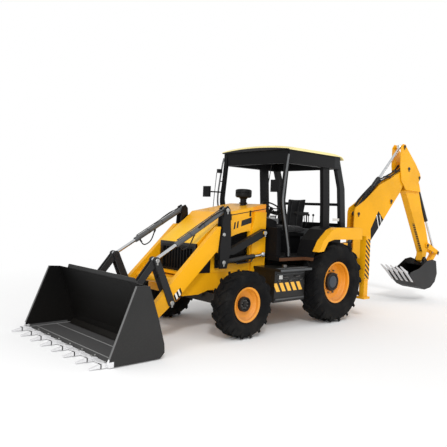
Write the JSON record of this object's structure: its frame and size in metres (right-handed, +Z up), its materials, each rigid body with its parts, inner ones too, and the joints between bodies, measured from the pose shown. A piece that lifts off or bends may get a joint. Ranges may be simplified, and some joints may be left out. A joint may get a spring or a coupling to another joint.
{
  "type": "backhoe loader",
  "caption": "Wheeled tractor with a toothed front loader bucket on lift arms, an open cab with a roof, sliding rear stabilisers and a swinging rear digging arm with its bucket.",
  "frame": {"origin": "on the ground, under the middle of the machine's overall box", "axes": "+X forward to the loader bucket, +Y to the driver's left, +Z up"},
  "size_m": [9.17, 2.366, 3.4096],
  "materials": {
    "tyre": "matte",
    "yellow_paint": "satin",
    "black_paint": "satin",
    "dark_steel": "satin",
    "chrome": "polished",
    "grey_paint": "satin",
    "seat_cloth": "matte"
  },
  "bodies": {
    "chassis": {"chassis_frame": "yellow_paint", "rear_frame": "yellow_paint", "rear_axle": "dark_steel", "front_axle": "dark_steel", "engine_block": "dark_steel", "bonnet": "yellow_paint", "grille": "black_paint", "exhaust_stack": "black_paint", "cab_floor": "black_paint", "cab_frame": "black_paint", "cab_roof": "yellow_paint", "rear_fender_left": "yellow_paint", "rear_fender_right": "yellow_paint", "dash_console": "black_paint", "seat_base": "black_paint", "seat_cushions": "seat_cloth", "toolbox_left": "black_paint", "fuel_tank_right": "black_paint"},
    "steering": {"steering_wheel": "black_paint"},
    "knuckle_left": {"steering_knuckle_left": "dark_steel"},
    "knuckle_right": {"steering_knuckle_right": "dark_steel"},
    "front_wheel_left": {"front_tyre_left": "tyre", "front_rim_left": "yellow_paint"},
    "front_wheel_right": {"front_tyre_right": "tyre", "front_rim_right": "yellow_paint"},
    "rear_wheel_left": {"rear_tyre_left": "tyre", "rear_rim_left": "yellow_paint"},
    "rear_wheel_right": {"rear_tyre_right": "tyre", "rear_rim_right": "yellow_paint"},
    "arms": {"loader_arms": "yellow_paint"},
    "lift_barrels": {"lift_ram_barrel_left": "black_paint", "lift_ram_barrel_right": "black_paint"},
    "lift_rods": {"lift_ram_rod_left": "chrome", "lift_ram_rod_right": "chrome"},
    "tilt_barrels": {"tilt_ram_barrel_left": "grey_paint", "tilt_ram_barrel_right": "grey_paint"},
    "tilt_rods": {"tilt_ram_rod_left": "chrome", "tilt_ram_rod_right": "chrome"},
    "tilt_levers": {"tilt_lever_left": "black_paint", "tilt_lever_right": "black_paint"},
    "tilt_links": {"tilt_link_left": "black_paint", "tilt_link_right": "black_paint"},
    "front_bucket": {"loader_bucket": "dark_steel"},
    "post": {"swing_post": "black_paint"},
    "hoe_boom": {"boom": "yellow_paint"},
    "boom_barrel": {"boom_ram_barrel": "black_paint"},
    "boom_rod": {"boom_ram_rod": "chrome"},
    "dipper_barrel": {"dipper_ram_barrel": "black_paint"},
    "dipper_rod": {"dipper_ram_rod": "chrome"},
    "hoe_dipper": {"dipper": "yellow_paint"},
    "bucket_barrel": {"bucket_ram_barrel": "black_paint"},
    "bucket_rod": {"bucket_ram_rod": "chrome"},
    "guide_lever": {"hoe_guide_lever": "yellow_paint"},
    "bucket_link": {"hoe_bucket_link": "yellow_paint"},
    "rear_bucket": {"hoe_bucket": "dark_steel"},
    "leg_left": {"stabiliser_leg_left": "yellow_paint"},
    "leg_right": {"stabiliser_leg_right": "yellow_paint"}
  },
  "joints": [
    {"name": "steer_left", "type": "hinge", "parent": "chassis", "child": "knuckle_left", "pos_m": [2.03199, 0.7, 0.48964], "axis": [0, 0, 1], "range_deg": [-35, 35]},
    {"name": "steer_right", "type": "hinge", "parent": "chassis", "child": "knuckle_right", "pos_m": [2.03199, -0.7, 0.48964], "axis": [0, 0, 1], "range_deg": [-35.5, 35.5]},
    {"name": "steering_wheel_turn", "type": "hinge", "parent": "chassis", "child": "steering", "pos_m": [0.51199, 0, 1.89964], "axis": [-0.5478, 0, 0.8366], "range_deg": [-530, 530]},
    {"name": "front_wheel_left_spin", "type": "hinge", "parent": "knuckle_left", "child": "front_wheel_left", "pos_m": [2.03199, 0.9, 0.48964], "axis": [0, 1, 0], "continuous": true},
    {"name": "front_wheel_right_spin", "type": "hinge", "parent": "knuckle_right", "child": "front_wheel_right", "pos_m": [2.03199, -0.9, 0.48964], "axis": [0, 1, 0], "continuous": true},
    {"name": "rear_wheel_left_spin", "type": "hinge", "parent": "chassis", "child": "rear_wheel_left", "pos_m": [-0.12801, 0.86, 0.67964], "axis": [0, 1, 0], "continuous": true},
    {"name": "rear_wheel_right_spin", "type": "hinge", "parent": "chassis", "child": "rear_wheel_right", "pos_m": [-0.12801, -0.86, 0.67964], "axis": [0, 1, 0], "continuous": true},
    {"name": "arms_raise", "type": "hinge", "parent": "chassis", "child": "arms", "pos_m": [1.25199, 0, 1.49964], "axis": [0, -1, 0], "range_deg": [-2, 76]},
    {"name": "lift_barrels_turn", "type": "hinge", "parent": "arms", "child": "lift_barrels", "pos_m": [2.13199, 0, 1.05964], "axis": [0, -1, 0], "range_deg": [-10.37, 0.76]},
    {"name": "lift_rods_slide", "type": "slide", "parent": "lift_barrels", "child": "lift_rods", "axis": [-0.995, 0, 0.0995], "range_m": [-0.0125, 0.40093]},
    {"name": "front_bucket_tip", "type": "hinge", "parent": "arms", "child": "front_bucket", "pos_m": [3.47199, 0, 0.27964], "axis": [0, 1, 0], "range_deg": [-30, 85]},
    {"name": "tilt_levers_turn", "type": "hinge", "parent": "arms", "child": "tilt_levers", "pos_m": [3.06199, 0, 0.53964], "axis": [0, 1, 0], "range_deg": [-24.66, 68.97]},
    {"name": "tilt_links_turn", "type": "hinge", "parent": "tilt_levers", "child": "tilt_links", "pos_m": [3.33199, 0, 1.12964], "axis": [0, 1, 0], "range_deg": [-77.06, 27.52]},
    {"name": "tilt_barrels_turn", "type": "hinge", "parent": "arms", "child": "tilt_barrels", "pos_m": [2.09199, 0, 1.83964], "axis": [0, 1, 0], "range_deg": [-2.74, 6.84]},
    {"name": "tilt_rods_slide", "type": "slide", "parent": "tilt_barrels", "child": "tilt_rods", "axis": [0.8678, 0, -0.4969], "range_m": [-0.24764, 0.69798]},
    {"name": "hoe_swing", "type": "hinge", "parent": "chassis", "child": "post", "pos_m": [-1.52801, 0, 0.79964], "axis": [0, 0, 1], "range_deg": [-80, 100]},
    {"name": "boom_lift", "type": "hinge", "parent": "post", "child": "hoe_boom", "pos_m": [-1.82345, 0.05209, 0.71964], "axis": [0.1736, 0.9848, 0], "range_deg": [-104, 22]},
    {"name": "boom_barrel_turn", "type": "hinge", "parent": "post", "child": "boom_barrel", "pos_m": [-1.75452, 0.03994, 1.21964], "axis": [0.1736, 0.9848, 0], "range_deg": [-101.15, 21.79]},
    {"name": "boom_rod_slide", "type": "slide", "parent": "boom_barrel", "child": "boom_rod", "axis": [-0.7592, 0.1339, 0.6369], "range_m": [-0.15801, 0.7395]},
    {"name": "dipper_swing", "type": "hinge", "parent": "hoe_boom", "child": "hoe_dipper", "pos_m": [-3.37945, 0.32646, 2.88964], "axis": [-0.1736, -0.9848, 0], "range_deg": [-80, 14]},
    {"name": "dipper_barrel_turn", "type": "hinge", "parent": "hoe_boom", "child": "dipper_barrel", "pos_m": [-1.94163, 0.07293, 1.86964], "axis": [-0.1736, -0.9848, 0], "range_deg": [-0.87, 2.61]},
    {"name": "dipper_rod_slide", "type": "slide", "parent": "dipper_barrel", "child": "dipper_rod", "axis": [-0.643, 0.1134, 0.7575], "range_m": [-0.63768, 0.11324]},
    {"name": "rear_bucket_curl", "type": "hinge", "parent": "hoe_dipper", "child": "rear_bucket", "pos_m": [-4.05897, 0.44628, 0.89964], "axis": [-0.1736, -0.9848, 0], "range_deg": [-100, 20]},
    {"name": "guide_lever_turn", "type": "hinge", "parent": "hoe_dipper", "child": "guide_lever", "pos_m": [-4.15745, 0.46364, 1.21964], "axis": [-0.1736, -0.9848, 0], "range_deg": [-73.41, 15.08]},
    {"name": "bucket_link_turn", "type": "hinge", "parent": "guide_lever", "child": "bucket_link", "pos_m": [-4.52182, 0.52789, 1.04964], "axis": [-0.1736, -0.9848, 0], "range_deg": [-11.86, 57.32]},
    {"name": "bucket_barrel_turn", "type": "hinge", "parent": "hoe_dipper", "child": "bucket_barrel", "pos_m": [-3.73398, 0.38897, 2.72164], "axis": [-0.1736, -0.9848, 0], "range_deg": [-7.19, 1.84]},
    {"name": "bucket_rod_slide", "type": "slide", "parent": "bucket_barrel", "child": "bucket_rod", "axis": [-0.4251, 0.0749, -0.9021], "range_m": [-0.4438, 0.09036]},
    {"name": "leg_left_lower", "type": "slide", "parent": "chassis", "child": "leg_left", "axis": [0, 0, -1], "range_m": [0, 0.4]},
    {"name": "leg_right_lower", "type": "slide", "parent": "chassis", "child": "leg_right", "axis": [0, 0, -1], "range_m": [0, 0.4]}
  ],
  "couplings": [
    {"joint": "steer_right", "follows": "steer_left", "ratio": 1},
    {"joint": "steering_wheel_turn", "follows": "steer_left", "ratio": 15},
    {"joint": "lift_barrels_turn", "follows": "arms_raise", "ratio": -0.12992},
    {"joint": "lift_rods_slide", "follows": "arms_raise", "m_per_rad": 0.30075},
    {"joint": "tilt_levers_turn", "follows": "front_bucket_tip", "ratio": 0.8055},
    {"joint": "tilt_links_turn", "follows": "front_bucket_tip", "ratio": -0.9007},
    {"joint": "tilt_barrels_turn", "follows": "front_bucket_tip", "ratio": 0.0746},
    {"joint": "tilt_rods_slide", "follows": "front_bucket_tip", "m_per_rad": 0.46914},
    {"joint": "boom_barrel_turn", "follows": "boom_lift", "ratio": 0.96776},
    {"joint": "boom_rod_slide", "follows": "boom_lift", "m_per_rad": -0.40631},
    {"joint": "dipper_barrel_turn", "follows": "dipper_swing", "ratio": -0.026433},
    {"joint": "dipper_rod_slide", "follows": "dipper_swing", "m_per_rad": 0.45527},
    {"joint": "guide_lever_turn", "follows": "rear_bucket_curl", "ratio": 0.7291},
    {"joint": "bucket_link_turn", "follows": "rear_bucket_curl", "ratio": -0.5682},
    {"joint": "bucket_barrel_turn", "follows": "rear_bucket_curl", "ratio": 0.0669},
    {"joint": "bucket_rod_slide", "follows": "rear_bucket_curl", "m_per_rad": 0.25313}
  ]
}
